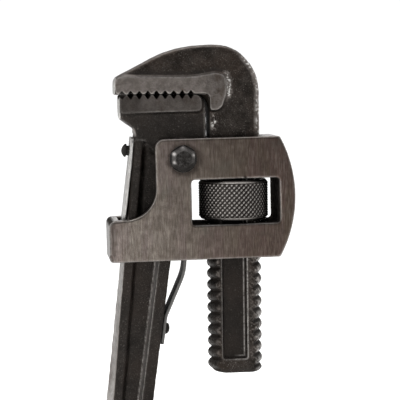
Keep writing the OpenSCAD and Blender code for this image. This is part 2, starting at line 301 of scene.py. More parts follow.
def tooth_cuts(f, g, depth, up):
    """Nine V grooves along the bite line, which slant towards the jaws' tips as they run back."""
    side = 1 if up else -1
    half = 1.75 / (depth + 0.4)
    for i in range(TOOTH_COUNT):
        xc = FIRST_TOOTH + TOOTH_PITCH * i - TOOTH_SLANT * (g.y + JAW_HALF)
        height = (BITE + side * (depth + 0.1) - g.z) * side
        v = (np.abs(g.x - xc) - half * height) / math.hypot(1, half)
        v = np.maximum(v, (BITE - side * 0.4 - g.z) * side)
        f = smax(f, -v, 0.25)
    return f


def thread_radius(z, a):
    """Radius of the thread at height z and angle a."""
    u = (z - THREAD_CREST) / THREAD_PITCH - a / (2 * math.pi)
    return THREAD_ROOT + THREAD_HEIGHT * (1 - (2 * np.abs(u - np.round(u))) ** 2)


# ---------------------------------------------------------------- handle

HEEL = rounded([
    (-55.2, 62.46, 0.6), (-13.6, 62.46, 6.5), (-13.6, 25.5, 2), (-24.5, 22.3, 3), (-33, 28, 2),
    (-43, 40.3, 1), (left(40) + 0.4, 40, 0), (left(42.3), 42.3, 0), (-48.7, 46.3, 2), (-55.2, 51, 2)])
HEEL_PAD = rounded([(-55.2, 62.46, 0.6), (-15.7, 62.46, 4), (-15.7, 54.1, 2.4), (-55.2, 53.4, 2)])
BAR_END, RECESS_END, RECESS_DEPTH = -187.0, -168.4, 3.7
EYE_RADIUS, HOLE_RADIUS, EYE_HALF = 11.4, 5.5, 7


def handle_shape(g):
    """The handle's distances, and how far inside the bar's recess each point is."""
    x, z, ay = g.x, g.z, np.abs(g.y)
    lx, rx = left(z), right(z)
    crown = np.interp(z, (-187, -18, 20, 42), (5.1, 1.7, 0.2, 0)).astype(np.float32)
    face_in = np.interp(z, (-187, -76, -45, -18, 20), (0.2, 0.05, -0.35, -0.3, 0)).astype(np.float32)
    middle = np.clip(1 - ay / BAR_HALF, 0, 1)
    side = np.maximum(lx + face_in - (crown + face_in) * middle - x, x - rx - 0.4 * middle) * 0.99
    slope = -((x + 43.5) * 0.766 + (z - 42.3) * 0.643)
    across = smin(0.47 * (x - lx - 3.6), rx - 5.8 - x, 1.2)
    along = smin(0.3 * slope, z - RECESS_END, 1.2)
    depth = smin(across, along, 1.2)
    bar = smax(side, ay - (BAR_HALF - RECESS_DEPTH * step(0, 1.4, depth)), 1.1)
    bar = smax(bar, ((x + 60) * 24.5 + (z - 47.5) * 50) / 55.68, 1.4)
    bar = smax(bar, BAR_END - z, 1.0)
    from_eye = np.hypot(x - EYE[0], z - EYE[1])
    f = smin(bar, smax(from_eye - EYE_RADIUS, ay - EYE_HALF, 1.6), 5.0)
    f = smax(f, HOLE_RADIUS - from_eye, 1.2)
    pad = inside(x, z, HEEL_PAD)
    rise = np.clip(1 - np.maximum(pad, 0) / np.where(x > -48, 1.5, 2.6), 0, 1)
    boss = np.clip(1 - np.maximum(np.hypot(x - PIN[0], z - PIN[1]) - 9, 0) / 1.5, 0, 1)
    height = np.maximum(WEB_HALF + PAD_RISE * rise ** 2, WEB_HALF + 1.4 * boss ** 2)
    round_edge = 1.3 + 2.2 * step(-44, -50, x) * step(56, 50, z)
    web = smax(inside(x, z, HEEL), ay - height, np.where(pad < 1, 0.9, round_edge))
    return tooth_cuts(smin(f, web, 1.6), g, 2.1, False), depth


def handle_wear_and_light(g, f, depth, verts, n, pad_at, ground):
    """The handle's three masks. pad_at is the distance to the jaw pad's outline, negative on the pad."""
    edge, hollow = edges_and_hollows(g, f, verts, 1.2, 3.2)
    vx, vy, vz = verts.T
    wall = np.abs(n[:, 1])
    inset = g.sample(np.broadcast_to(depth, f.shape), verts)
    right_half = vx > (left(vz) + right(vz)) / 2

    # Painted highlights: two lines along the recess's right-hand walls, on the right half only, and a band on
    # the front of the flange's top end; worn lines round the pad and along the heel's right end
    chips = 0.55 + 0.45 * step(-0.2, 0.3, noise(verts, 0.8, 8.3))
    rim = band(inset, 0.05, 0.32) + 0.95 * band(inset, 1.5, 0.32)
    rim = 1.5 * chips * rim * (vz < 38) * right_half
    pad_rim = 0.5 * band(pad_at, -0.4, 0.35) * step(0.5, 0.8, wall)
    end_rim = 0.9 * band(vx, -14.4, 0.45) * (vz > 30) * (vz < 60) * step(0.3, 0.6, wall)
    flange_top_highlight = 0.6 * band(vz - 41.2 + 0.12 * (vx + 48), 0, 0.45) * (vx < -42.6) * (vy < -6) * chips
    edge = np.max([edge, rim, pad_rim, end_rim, flange_top_highlight], 0)

    # Painted highlight on the left-facing sides, where the light from the left falls, in the colour of bright
    # steel; the strip behind the back spring gets painted shade instead
    side_sheen = 0.72 + 0.25 * step(49, 52, vz) - 0.3 * step(36, 40, vz) * step(51, 48, vz)
    side_sheen = side_sheen - (0.05 + 0.07 * noise(verts, (4, 4, 16), 5.5)) * step(-20, -60, vz)
    sides = side_sheen * step(0.62, 0.86, -n[:, 0]) * (np.abs(vy) < 8.6) * step(-14.5, -16, vx)
    spring_shadow = step(2, 6, vz) * step(43, 41.5, vz) * step(0.3, 0.5, -n[:, 0]) * (vx < left(vz) + 1.2)
    sides = sides * (1 - spring_shadow)

    # Painted shade between the teeth, whose crests are worn, and in the gap to the hook's inner face
    bite = np.maximum(step(0.85, 0.6, wall), np.abs(vy) < 9.0)
    bite = bite * step(59.6, 60.4, vz) * (vx < -13) * (n[:, 0] > -0.9)
    crest = 0.85 * step(61.9, 62.25, vz) * (vx < -16) * (np.abs(vy) < 9.3)
    bite = bite * (1 - crest)
    gap = 0.85 * step(0.5, 0.8, n[:, 0]) * (vx > -15.5)

    # Painted shade on the heel's web, along the recess's right wall, on the left flange, and with dirt in
    # hollows, weaker low on the left half; darker in the recess and on the flanges, most on the right half
    # and low down; stains on the heel's pad
    web = 0.45 * (inside(vx, vz, HEEL) < 0.3) * step(1.0, 2.6, pad_at) * step(0.6, 0.8, wall)
    recess = 0.36 * step(0.9, 1.5, inset) * (vz < 40)
    trough_shade = 0.5 * band(inset, 0.8, 0.3) * (vz < 38) * right_half * (wall < 0.97)
    shade = 0.4 * (inset < 0.5) * (vz < 40) * ~right_half * step(0.6, 0.8, wall) * (vx < -24)
    flange = np.where(right_half, 0.42, 0.22) + 0.2 * step(-50, -75, vz)
    flange = flange * (vz < 24) * step(0.6, 0.9, wall) * (inset < 0)
    patches = np.clip(0.22 + 0.3 * step(-40, -50, vx) + 0.25 * noise(verts, 4.0, 1.7), 0, 1)
    grime = step(2.0, 1.0, pad_at) * (vz > 50) * patches * (1 - sides)
    hollow = np.where(right_half | (vz > 40), hollow, 0.55 * hollow) * (1 - sides)
    dirt_and_shade = np.max([hollow, web, recess, shade, flange, trough_shade, spring_shadow, bite, gap, grime], 0)
    dirt_and_shade = dirt_and_shade * (1 - 0.8 * np.minimum(rim, 1))
    # Bright: the ground pad, the painted highlight on the left sides and the worn tooth crests
    worn_and_lit = np.max([ground * 0.24, sides * (1 - bite), 0.5 * crest], 0)
    return worn_and_lit, edge * (1 - bite), dirt_and_shade


def make_handle():
    g = Grid((-79.6, -10.25, -212), (-12.4, 10.25, 63.6), 0.5)
    f, depth = handle_shape(g)
    verts, quads = g.surface(f)
    n = g.normals(f, verts)
    vx, vy, vz = verts.T
    pad_at = inside(vx, vz, HEEL_PAD)
    ground = step(0.2, -0.6, pad_at) * step(9.2, 9.42, np.abs(vy))
    jaw = step(61.2, 61.8, vz) * (vx < -14)
    bump = layered(verts, (0.10, 3.1, 0.0), (0.07, 1.5, 5.2), (0.05, 0.9, 2.7))
    lumpy = step(52, 47, vz) * step(36, 42, vz) * step(-42, -49, vx)
    bump = bump * (1 + 2.2 * lumpy)
    bore = np.hypot(vx - EYE[0], vz - EYE[1]) < 6.5
    rough = (1 - ground) * (1 - jaw)
    verts = verts + n * ((bump - 0.15) * rough * np.where(bore, 0.2, 1))[:, None]
    return add_mesh("handle_forging", verts, quads, handle_wear_and_light(g, f, depth, verts, n, pad_at, ground))


# ---------------------------------------------------------------- hook jaw

HOOK_BACK = rounded([
    (-80, 58.8, 0), (-27.6, 85.8, 56), (-0.2, 85.8, 18.5), (12.3, 72.5, 22), (12.3, 30, 0), (-80, 30, 0)])
HOOK_PAD = rounded([
    (-57.2, 62.34, 2.4), (-57.5, 70.4, 2.6), (-53, 71.1, 3), (-20, 70.6, 30), (-9.2, 72.4, 6),
    (-4.4, 71.4, 3.2), (-3.6, 63, 12), (-6.8, 54.4, 4.4), (-12.3, 54.4, 2.2), (-12.2, 62.34, 2.4)])
PANEL = rounded([(-7.4, -66.4, 1.5), (5.4, -66.4, 1.5), (5.4, 30, 3), (-7.4, 30, 3)])
SHANK_END = -72.9


def hook_shape(g):
    x, y, z, ay = g.x, g.y, g.z, np.abs(g.y)
    pad = inside(x, z, HOOK_PAD)
    reach = 1.3 + 1.6 * step(-8, -3, x)
    height = WEB_HALF + PAD_RISE * np.clip(1 - np.maximum(pad, 0) / reach, 0, 1) ** 2
    rim = np.where(pad < 0.5, 1.0, 3.4 - 1.4 * step(70, 55, z))
    upper = smax(smax(inside(x, z, HOOK_BACK), -57.4 - x, 2.5), ay - height, rim)
    inner = smin(-12.1 - x, 62.34 - z, 2.6 + 4.6 * step(8.7, 7.7, ay) + 2.0 * step(5.5, 4.5, ay))
    upper = smax(smax(upper, inner, 0.7), 33 - z, 0.5)
    block = smax(smax(np.abs(x + 0.05) - 11.65, ay - SHANK_HALF, 0.8), np.abs(z - 36.3) - 3.8, 0.8)
    radius, angle = np.hypot(x, y), np.arctan2(y, x)
    thread = 13.35 + 1.25 * (thread_radius(z, angle) - 13.3)
    thread = -smax(-thread, -(11.1 + 0.8 * np.cos(angle) + 1.1 * (z - SHANK_END)), 0.8)
    flat = SHANK_HALF - 2.2 * step(0.1, 1.7, -inside(x, z, PANEL))
    shank = smax((radius - thread) * 0.85, ay - flat, 0.45)
    shank = smax(smax(shank, SHANK_END - z, 0.6), z - 34, 0.5)
    return tooth_cuts(np.minimum(smin(upper, block, 1.0), shank), g, 1.7, True)


def hook_wear_and_light(g, f, verts, n, pad_at, ground):
    """The hook jaw's three masks. pad_at is the distance to the jaw pad's outline, negative on the pad."""
    edge, hollow = edges_and_hollows(g, f, verts, 1.1, 3.0)
    vx, vy, vz = verts.T
    wall = np.abs(n[:, 1])
    cut_at = inside(vx, vz, PANEL)
    on_shank = vz < 30
    mottled = step(-0.35, 0.5, noise(verts, 0.8, 4.6))
    glints = step(-0.3, 0.4, noise(verts, 0.55, 2.6))

    # Painted highlights along the panel's rims, stronger on the right, and on the thread's crests on the
    # right; a worn line round the pad
    rim = band(cut_at, -0.2, 0.3) + 0.9 * band(cut_at, -1.75, 0.3) * step(-2, 3, vx)
    rim = 1.2 * rim * np.where(vx > -1, 1.0, 0.4) * step(0.35, 0.6, wall) * on_shank
    pad_rim = 0.85 * band(pad_at, -0.35, 0.35) * step(0.5, 0.8, wall)
    crest = 1.25 * mottled * step(12.3, 13.0, np.hypot(vx, vy)) * on_shank * (vx > 0)
    edge = np.max([edge, rim, pad_rim, crest], 0)

    # Painted highlights on the left-facing tip, the rounded outer back, the faces turned up on top, the
    # fillet round the pad's lobe and a patch below the lobe; wear on the shank's flats and the ground pad
    lit_tip = step(0.6, 0.85, -n[:, 0]) * (vx < -50)
    back_highlight = 0.42 + 0.42 * mottled
    back_highlight = back_highlight * step(-3.6, -1.6, inside(vx, vz, HOOK_BACK)) * (vz > 33) * step(-1, 6, vx)
    back_highlight = back_highlight * (0.42 + 0.58 * step(0.12, 0.4, wall))
    top_light = 0.34 * step(0.45, 0.8, n[:, 2]) * (vz > 62)
    fillet_highlight = (0.35 + 0.65 * glints) * step(-0.1, 0.4, pad_at) * step(4.0, 1.6, pad_at)
    fillet_highlight = fillet_highlight * step(-7, -3, vx) * step(57, 63, vz) * step(75, 72, vz)
    below_lobe_highlight = 1.7 * glints * np.exp(-((vx + 10.2) / 1.4) ** 2 - ((vz - 49.0) / 3.4) ** 2)
    below_lobe_highlight = below_lobe_highlight * step(0.5, 0.8, wall)
    flats = 0.28 * mottled * step(0.2, 1.0, cut_at) * (vz < 20) * (vz > -66) * step(0.8, 0.95, wall)
    pad_face = ground * np.where(vx < -20, 0.52, 0.44)
    worn_and_lit = np.max([pad_face, lit_tip, back_highlight, top_light, fillet_highlight, below_lobe_highlight, flats], 0)

    # Painted shade between the teeth, whose crests are worn, and in the gap to the heel
    bite = np.maximum(step(0.85, 0.6, wall), np.abs(vy) < 9.0)
    bite = bite * step(65, 64.2, vz) * (vx < -12.6) * (n[:, 0] > -0.9)
    tooth = 0.85 * step(62.9, 62.55, vz) * (vx < -14) * (vz > 62) * (np.abs(vy) < 9.3)
    bite = bite * (1 - tooth)
    gap = (0.74 + 0.1 * mottled) * step(0.5, 0.8, -n[:, 0]) * (vx > -13.5) * (vx < -11) * (vz > 30)

    # Painted shade in the crease round the pad's top, and with dirt in hollows; darker in the thread's roots,
    # on the shank's end and in its panel
    crease_shade = 0.5 * band(pad_at, 1.7, 0.8) * (vz > 66) * (vx < -6)
    root = 0.85 * step(12.9, 12.0, np.hypot(vx, vy)) * on_shank * (cut_at > 0.5) * step(0.85, 0.6, wall)
    shank_end = 0.45 * step(-70, -72, vz)
    panel = 0.62 * step(-0.9, -1.6, cut_at) * on_shank * (1 - np.minimum(rim, 1))
    hollow = hollow * (1 - fillet_highlight) * (1 - np.minimum(rim, 1))
    dirt_and_shade = np.max([hollow, panel, crease_shade, root, shank_end, bite, gap], 0)
    dirt_and_shade = dirt_and_shade * (1 - lit_tip * (1 - bite))
    worn_and_lit = np.maximum(worn_and_lit * (1 - bite) * (1 - gap), 0.5 * tooth)
    return worn_and_lit, edge * (1 - bite) * (1 - gap), dirt_and_shade


def make_hook():
    g = Grid((-60, -10.29, -74.4), (14.4, 10.29, 87.5), 0.42)
    f = hook_shape(g)
    verts, quads = g.surface(f)
    n = g.normals(f, verts)
    vx, vy, vz = verts.T
    pad_at = inside(vx, vz, HOOK_PAD)
    ground = step(0.2, -0.5, pad_at) * step(9.2, 9.42, np.abs(vy)) * np.where(vx > -14, 0.75, 1)
    jaw = step(64, 63, vz) * (vx < -12)
    rough = (1 - ground) * (1 - jaw) * (1 - 0.45 * step(34, 31, vz))
    bump = layered(verts, (0.10, 3.0, 9.1), (0.07, 1.4, 1.2), (0.04, 0.85, 3.3))
    verts = verts + n * ((bump - 0.15) * rough)[:, None]
    return add_mesh("hook_forging", verts, quads, hook_wear_and_light(g, f, verts, n, pad_at, ground))


# ---------------------------------------------------------------- frame

ARC = [(-32 + 60 * math.cos(a), 13.1 + 60 * math.sin(a), 0)
       for a in np.linspace(math.asin(-29.7 / 60), math.asin(28.3 / 60), 28)]
ARC[0], ARC[-1] = (*ARC[0][:2], 0.8), (*ARC[-1][:2], 1.6)
FRAME = rounded([(-61.7, -16.6, 1.6), *ARC, (-38.8, 41.4, 4.4), (-38.8, 4, 14.6), (-61.7, 3.2, 3.0)])
WINDOW = rounded([(-22, 0, 1.2), (20.3, 0, 1.6), (20.3, 21.6, 1.6), (-22, 21.6, 1.6)])
ROOM = rounded([(-56.6, -30, 0), (-22.4, -30, 0), (-22.4, 0.5, 0.8), (-10, 0.5, 0), (-10, 60, 0),
                (-80, 60, 0), (-80, 3.8, 0), (-56.6, 3.8, 0.8)])
FRAME_LEAN = math.radians(0.65)
NICKS = ((-62.2, -15.2, -13.8, 1.7), (-61.4, -15.6, -16.2, 1.9), (-60.2, -15.6, -17.2, 1.3),
         (3.9, -15.0, 22.0, 0.9), (-59.3, -15.4, -12.3, 0.95), (13, -15.2, -17.1, 1.0))


def lean(p):
    """Points of the frame turned about the pin, to how the frame leans at rest."""
    dx, dz = p[:, 0] - PIN[0], p[:, 2] - PIN[1]
    return np.stack([PIN[0] + dx * math.cos(FRAME_LEAN) - dz * math.sin(FRAME_LEAN), p[:, 1],
                     PIN[1] + dx * math.sin(FRAME_LEAN) + dz * math.cos(FRAME_LEAN)], 1)


def make_frame():
    g = Grid((-63.2, -15.37, -18.2), (29.4, 15.37, 43), 0.4)
    x, y, z, ay = g.x, g.y, g.z, np.abs(g.y)
    f = smax(inside(x, z, FRAME), ay - FRAME_HALF, 0.75)
    f = smax(f, -inside(x, z, WINDOW), 0.6)
    f = smax(f, -smax(inside(x, z, ROOM), ay - FRAME_ROOM, 0.3), 0.5)
    shank_slot = np.abs(x + 0.3) - 14.5
    f = smax(f, -smax(shank_slot, ay - FRAME_ROOM, 0.3), 0.5)
    for cx, cy, cz, r in NICKS:
        f = smax(f, r - np.sqrt((x - cx) ** 2 + (y - cy) ** 2 + (z - cz) ** 2), 0.3)
    verts, quads = g.surface(f)
    n = g.normals(f, verts)
    vx, vy, vz = verts.T
    face = step(0.97, 0.995, np.abs(n[:, 1]))
    wave = layered(verts, (0.02, (2.2, 9, 9), 4.4), (0.012, (0.9, 9, 7), 8.8))
    rough = 0.05 * noise(verts, 1.6, 2.2) - 0.03
    verts = verts + n * (wave * face + rough * (1 - face))[:, None]
    edge, hollow = edges_and_hollows(g, f, verts, 1.0, 3.0)
    # Inside the frame: blackened, unground steel, which frame_material paints darker still as shade
    inner = np.maximum((np.abs(vy) < 9.25) * (inside(vx, vz, FRAME) < -1.2),
                       (inside(vx, vz, WINDOW) < 0.55) * step(0.8, 0.5, np.abs(n[:, 1])))
    # Painted shadow round the pin's head, off to its lower right
    from_pin = np.hypot(vx - PIN[0] - 0.5, vz - PIN[1] + 0.3) + 0.5 * noise(verts, 1.5, 3.5)
    pin_shadow = 0.8 * step(9.2, 6.6, from_pin)
    foot = 0.6 * step(-57.5, -61.0, vx + 1.2 * noise(verts, (3, 9, 2.2), 6.4)) * (vz < 6)
    nick = 0.9 * step(1.3, 0.5, np.hypot(vx - 3.9, vz - 22.2))
    # Dark: dirt and painted shade in hollows, the pin's painted shadow, the foot's marks and the nick
    dirt_and_shade = np.max([hollow, pin_shadow, foot, nick], 0)
    return add_mesh("frame_housing", lean(verts), quads, (1 - inner, edge, dirt_and_shade))


# ---------------------------------------------------------------- adjusting nut

KNURLS, KNURL_RISE, KNURL_DEPTH = 45, 2.36, 0.68
NUT_LOW, NUT_HIGH, NUT_RADIUS = 2.0, 20.9, 16.9


def knurl(a, height):
    """Two crossing sets of ridges at angles a, each 0 in its grooves and 1 on its crests."""
    u = KNURLS * (a / (2 * math.pi)) - height / KNURL_RISE
    v = KNURLS * (a / (2 * math.pi)) + height / KNURL_RISE
    return [1 - np.abs(2 * (t - np.floor(t)) - 1) ** 1.3 for t in (u, v)]


def make_nut():
    """The nut, as rings of points up its knurled outside and down its threaded bore."""
    around = KNURLS * 11
    low, high = NUT_LOW, NUT_HIGH
    a = np.arange(around) / around * 2 * math.pi
    profile = [(15.05, low + 0.02), (15.3, low), (15.6, low), (15.75, low + 0.1), (16.5, low + 1.05)]
    profile += [(NUT_RADIUS, height) for height in np.linspace(low + 1.35, high - 1.35, 84)]
    profile += [(16.5, high - 1.05), (15.75, high - 0.1), (15.6, high), (15.3, high), (15.05, high - 0.02)]
    rings, crests = [], []
    for radius, height in profile:
        r = np.full(around, radius)
        crest = np.full(around, 0.85 if radius > 15.8 else 0.2)
        fade = step(low + 1.1, low + 1.9, height) * step(high - 1.1, high - 1.9, height)
        if fade > 0:
            main, cross = knurl(a, height)
            r = radius - KNURL_DEPTH * fade * (1 - main * (0.5 + 0.5 * cross))
            crest = main * (0.3 + 0.7 * cross) * fade
        rings.append(np.stack([r * np.cos(a), r * np.sin(a), np.full(around, height)], 1))
        crests.append(crest)
    bore = np.linspace(high - 0.25, low + 0.25, 110)
    for height in bore:
        r = thread_radius(height, a) + THREAD_GAP
        rings.append(np.stack([r * np.cos(a), r * np.sin(a), np.full(around, height)], 1))
        crests.append(np.zeros(around))
    n = len(rings)
    verts = np.concatenate(rings)
    i, j = np.meshgrid(np.arange(n), np.arange(around), indexing="ij")
    i2, j2 = (i + 1) % n, (j + 1) % around
    quads = np.stack([i * around + j, i * around + j2, i2 * around + j2, i2 * around + j], -1).reshape(-1, 4)
    crest = np.concatenate(crests)
    inner = np.repeat([0.0] * len(profile) + [1.0] * len(bore), around)
    verts = verts + verts * np.array((1, 1, 0)) / 16 * (0.03 * noise(verts, 1.7, 6.1))[:, None]
    return add_mesh("nut_knurled", verts, quads, (1 - inner, crest, 1 - crest))


# ---------------------------------------------------------------- pin, its nut, screw and rivet

def placed(verts, base, u, w):
    """Carries local (u, y, w) coordinates to the head: u and w are unit directions in the x-z plane."""
    p = np.outer(verts[:, 0], (u[0], 0, u[1])) + np.outer(verts[:, 2], (w[0], 0, w[1]))
    p[:, 1] += verts[:, 1]
    return p + np.array((base[0], 0, base[1]))


def small_part(name, g, f, roughness, place=None, marks=None):
    """A piece from its distances. marks gives its light and dark masks from points and their normals."""
    verts, quads = g.surface(f)
    n = g.normals(f, verts)
    edge, hollow = edges_and_hollows(g, f, verts, 0.6, 1.2)
    edge = edge * 0.35
    if marks:
        light, dark = marks(verts, n)
        edge, hollow = np.maximum(edge, light) * (1 - dark), np.maximum(hollow, dark)
    out = verts + n * (roughness * noise(verts, 0.9, 7.7))[:, None]
    if place:
        out = place(out)
    return add_mesh(name, out, quads, (np.ones(len(out)), edge, hollow))


def hexagon(x, z, flats):
    """Distance to a hexagon, from its width across the flats."""
    d = np.abs(x)
    for s in (1, -1):
        d = smax(d, np.abs(0.5 * x + s * 0.8660254 * z), 0.25)
    return d - flats / 2


def pin_marks(v, n):
    """Painted highlights on the head's slanted facets; dirt on its flat; painted shade low on its facets and
    on the washer round its foot.
    """
    px, pz = v[:, 0] - PIN[0], v[:, 2] - PIN[1]
    r = np.hypot(px, pz)
    front = v[:, 1] < -14.6
    # Painted highlights: four soft spots round the facets
    highlight_spots = ((-4.5, 2.6, 1.1), (-0.5, 5.2, 0.55), (4.8, 1.9, 0.8), (-4.4, -1.5, 0.85))
    highlight = sum(a * np.exp(-((px - cx) ** 2 + (pz - cz) ** 2) / 0.9) for cx, cz, a in highlight_spots)
    slant = step(0.95, 0.85, np.abs(n[:, 1])) * front * (r > 3.5) * (v[:, 1] < -15)
    facet = slant * (0.12 + highlight * (0.6 + 0.4 * step(-0.35, 0.25, noise(v, 1.1, 2.8))))
    face = step(4.2, 3.7, r) * front * (0.78 + 0.35 * noise(v, 0.45, 1.9))
    # Painted shade on the washer and on the lower facets
    base = 0.9 * (v[:, 1] > -14.98) * front
    low = slant * (0.5 + 0.5 * step(-1, -3, pz)) * np.clip(1 - facet, 0, 1)
    return facet, np.max([face, base, low], 0)


def make_pin():
    g = Grid((-33.2, -19.4, 24.4), (-18.2, 20.6, 39.2), 0.2)
    x, y, z = g.x - PIN[0], g.y, g.z - PIN[1]
    r = np.hypot(x, z)
    head = smax(hexagon(x, z, 11.2), np.abs(y + 16.4) - 1.9, 0.4)
    head = smax(head, (r - 3.9 - (y + 18.1) * 1.25) / 1.6, 0.5)
    dome = smax(r - 3.3, np.sqrt(r ** 2 + (y + 11.9) ** 2) - 6.72, 0.4)
    head = smin(head, dome, 0.4)
    washer = smax(r - 6.5, np.abs(y + 14.45) - 0.35, 0.25)
    shaft = smax(r - 3.98, np.abs(y - 2.3) - 17.3, 1.2)
    f = np.minimum(np.minimum(head, washer), shaft)
    return small_part("pin_bolt", g, f, 0.06, marks=pin_marks)


def make_pin_nut():
    g = Grid((-33.4, 13.9, 24.2), (-18, 19.6, 39.4), 0.2)
    x, y, z = g.x - PIN[0], g.y, g.z - PIN[1]
    r = np.hypot(x, z)
    f = smax(hexagon(x, z, 11.4), np.abs(y - 16.75) - 2.1, 0.4)
    f = smax(f, (r - 6.2 + (np.abs(y - 16.7) - 1.2) * 1.1) / 1.5, 0.4)
    f = smax(f, 4.0 - r, 0.3)
    return small_part("pin_hex_nut", g, f, 0.04)


SCREW_HEIGHT, RIVET_HEIGHT = 35.4, -51


def make_back_screw():
    g = Grid((-4.2, -4.2, -9), (4.2, 4.2, 6.2), 0.12)
    x, y, w = g.x, g.y, g.z
    r = np.hypot(x, y)
    f = smax(r - 1.8, np.abs(w + 2.7) - 5.8, 0.4)
    f = smin(f, smax(r - 2.4, np.abs(w - 2.3) - 0.8, 0.3), 0.3)
    head = smax(smax(r - 3.25, 3.0 - w, 0.5), np.sqrt(r ** 2 + (w - 1.35) ** 2) - 4.0, 0.5)
    slot = smax(np.abs(y) - 0.5, 4.4 - w, 0.1)
    f = np.minimum(f, smax(head, -slot, 0.25))
    t = math.atan(LEFT_TILT)
    base = (left(SCREW_HEIGHT), SCREW_HEIGHT)
    along, out = (math.sin(t), math.cos(t)), (-math.cos(t), math.sin(t))
    return small_part("spring_screw", g, f, 0.06,
                      lambda v: placed(v, base, along, out), lambda v, n: (0.4, 0.9))


def make_rivet():
    g = Grid((-3.6, -3.6, -5), (3.6, 3.6, 4.6), 0.12)
    r, w = np.hypot(g.x, g.y), g.z
    f = smax(r - 1.8, np.abs(w + 1.2) - 3.3, 0.3)
    head = smax(smax(r - 2.78, 1.42 - w, 0.3), np.sqrt(r ** 2 + (w + 0.3) ** 2) - 4.15, 0.6)
    f = np.minimum(f, head)
    t = math.atan(RIGHT_TILT)
    base = (right(RIVET_HEIGHT) + 0.4, RIVET_HEIGHT)
    along, out = (-math.sin(t), -math.cos(t)), (math.cos(t), -math.sin(t))
    return small_part("spring_rivet", g, f, 0.07,
                      lambda v: placed(v, base, along, out), lambda v, n: (0.3, 0.9))


# ---------------------------------------------------------------- leaf springs

LEAF_HALF, LEAF_END, LEAF_EDGE = 6.5, 2.6, 0.32


def leaf_section(half, thick, steps):
    """Points round a leaf's section: how far across it, and how deep from its outer face."""
    r = LEAF_EDGE
    flat = np.linspace(-half + r, half - r, steps)
    c = np.linspace(0, math.pi / 2, 4)[1:]
    across = [flat, half - r + r * np.sin(c), half - r + r * np.cos(c),
              flat[::-1], -half + r - r * np.sin(c), -half + r - r * np.cos(c)[:-1]]
    deep = [np.zeros(steps), r - r * np.cos(c), thick - r + r * np.sin(c),
            np.full(steps, thick), thick - r + r * np.cos(c), r - r * np.sin(c)[:-1]]
    return np.concatenate(across), np.concatenate(deep)


def make_spring(name, path, thick, bright):
    """A leaf whose outer face follows the path; its other face lies thick to the right of the path."""
    p = rounded(path, closed=False)
    s = np.concatenate([[0], np.cumsum(np.linalg.norm(np.diff(p, axis=0), axis=1))])
    total = s[-1]
    gap = 0.45
    end = LEAF_END * (1 - np.cos(np.linspace(0, math.pi / 2, 9)[1:]))
    mid = np.arange(LEAF_END + gap, total - LEAF_END, gap)
    stations = np.concatenate([[0.02], end, mid, total - end[::-1], [total - 0.02]])
    cx, cz = np.interp(stations, s, p[:, 0]), np.interp(stations, s, p[:, 1])
    dx, dz = np.gradient(cx, stations), np.gradient(cz, stations)
    k = np.hypot(dx, dz)
    nx, nz = dz / k, -dx / k
    steps = 26
    rows = []
    for i, t in enumerate(stations):
        e = min(t, total - t)
        half = LEAF_HALF
        if e < LEAF_END:
            half = LEAF_HALF - LEAF_END + math.sqrt(max(0.0, LEAF_END * LEAF_END - (LEAF_END - e) ** 2))
        across, deep = leaf_section(half, thick, steps)
        rows.append(np.stack([cx[i] + nx[i] * deep, across, cz[i] + nz[i] * deep], 1))
    n, m = len(rows), len(rows[0])
    verts = np.concatenate(rows)
    i, j = np.meshgrid(np.arange(n - 1), np.arange(m), indexing="ij")
    j2 = (j + 1) % m
    quads = np.stack([i * m + j, i * m + j2, (i + 1) * m + j2, (i + 1) * m + j], -1).reshape(-1, 4)
    caps = []
    for base, flip in ((0, False), ((n - 1) * m, True)):
        for q in range(m // 2 - 1):
            quad = [base + q, base + m - 1 - q, base + m - 2 - q, base + q + 1]
            caps.append(quad[::-1] if flip else quad)
    quads = np.concatenate([quads, np.array(caps)])
    edge = 0.4 * np.clip((np.abs(verts[:, 1]) - (LEAF_HALF - 0.5)) * 2.5, 0, 1)
    k = np.arange(m)
    # The outer face gets a painted highlight as strong as bright: strong on the back leaf's face turned to
    # the left light
    outer = np.tile((k < steps + 5) | (k > 2 * steps + 7), n) * bright
    verts = verts + np.array((1, 0, 0)) * (0.03 * noise(verts, 2.3, 3.9))[:, None]
    return add_mesh(name, verts, quads, (outer, edge, 0.6 * (outer < 0.5)))


# ---------------------------------------------------------------- materials

